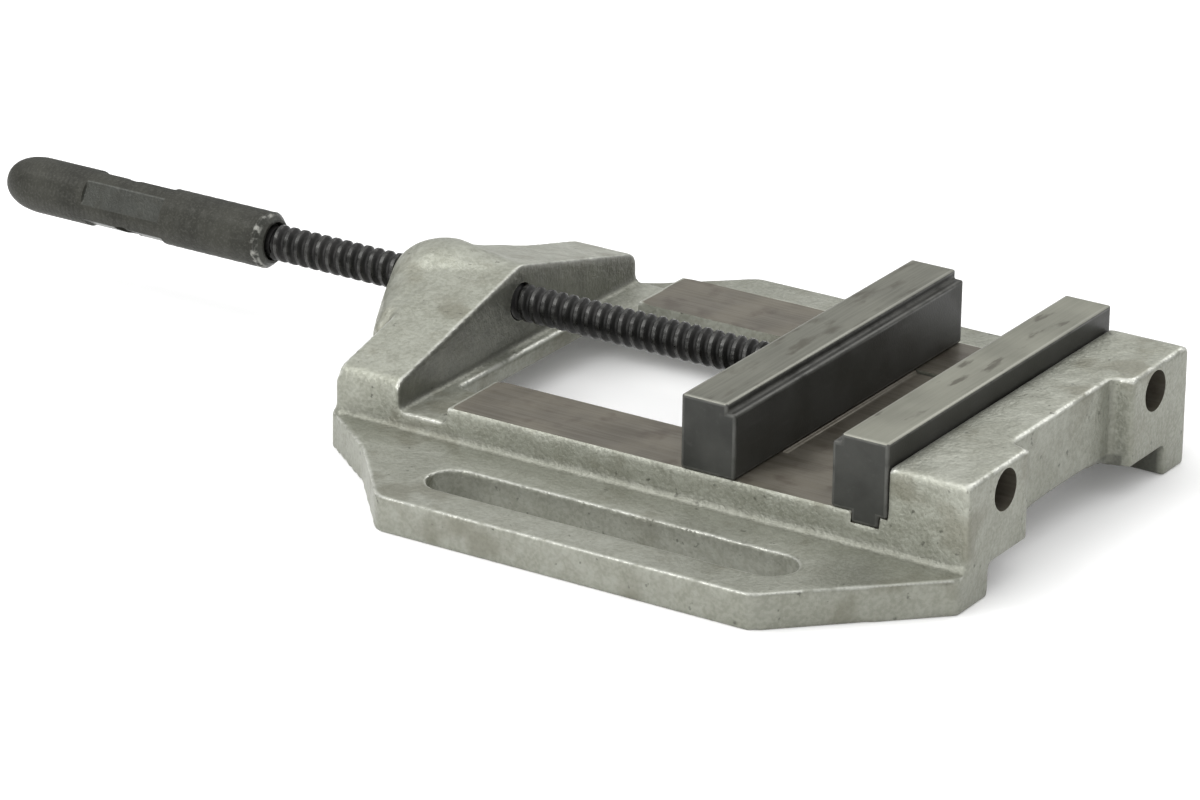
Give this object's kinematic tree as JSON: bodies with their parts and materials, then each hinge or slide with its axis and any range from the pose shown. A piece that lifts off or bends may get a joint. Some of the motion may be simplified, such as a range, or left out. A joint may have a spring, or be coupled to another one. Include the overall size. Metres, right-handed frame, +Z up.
{
  "type": "machine vise",
  "caption": "Low drill-press vise: cast bed with slotted ears, gabled screw tower, stepped steel jaws, threaded spindle and knurled grip.",
  "frame": {"origin": "middle of the overall box, at its base: on the ground, half-way between the grip's tip and the end wall; the spindle's axis is 6.25 mm to the +Y side of it, because the near ear is the wider one", "axes": "+X parallel to the spindle, from the grip towards the fixed jaw, +Y across the bed towards the narrower ear, +Z up"},
  "size_m": [0.44, 0.2426, 0.0505],
  "materials": {
    "cast_iron": "silvery grey as-cast surface with fine sand grain, stains and worn bright edges",
    "ground_steel": "ground top, blackened faces and ends",
    "machined_iron": "machined, dark brownish grey, faintly stained",
    "black_oxide": "oiled black oxide, glossy on the crests",
    "knurled_steel": "dark phosphate, knurled, with smoother milled flats",
    "screw_black": "black socket screws",
    "bright_steel": "bare steel"
  },
  "bodies": {
    "bed": {"base_casting": "cast_iron", "fixed_jaw": "ground_steel", "fixed_jaw_screw_near": "screw_black", "fixed_jaw_screw_far": "screw_black"},
    "carriage": {"movable_jaw": "ground_steel", "guide_block": "machined_iron", "keeper_plate": "machined_iron", "jaw_screw_near": "screw_black", "jaw_screw_far": "screw_black", "keeper_screw_rear_near": "bright_steel", "keeper_screw_rear_far": "bright_steel", "keeper_screw_front_near": "bright_steel", "keeper_screw_front_far": "bright_steel", "jaw_dowel_near": "bright_steel", "jaw_dowel_far": "bright_steel", "retaining_pin_near": "bright_steel", "retaining_pin_far": "bright_steel", "thrust_washer": "bright_steel"},
    "screw": {"spindle": "black_oxide", "handle_grip": "knurled_steel", "handle_pin": "bright_steel"}
  },
  "joints": [
    {"name": "jaw_slide", "type": "slide", "parent": "bed", "child": "carriage", "axis": [1, 0, 0], "range_m": [-0.0915, 0.0362]},
    {"name": "screw_turn", "type": "hinge", "parent": "carriage", "child": "screw", "pos_m": [0.112, 0.00625, 0.0344], "axis": [1, 0, 0], "range_deg": [-7400, 2960]}
  ],
  "couplings": [
    {"joint": "screw_turn", "follows": "jaw_slide", "rad_per_m": 1396.3}
  ]
}
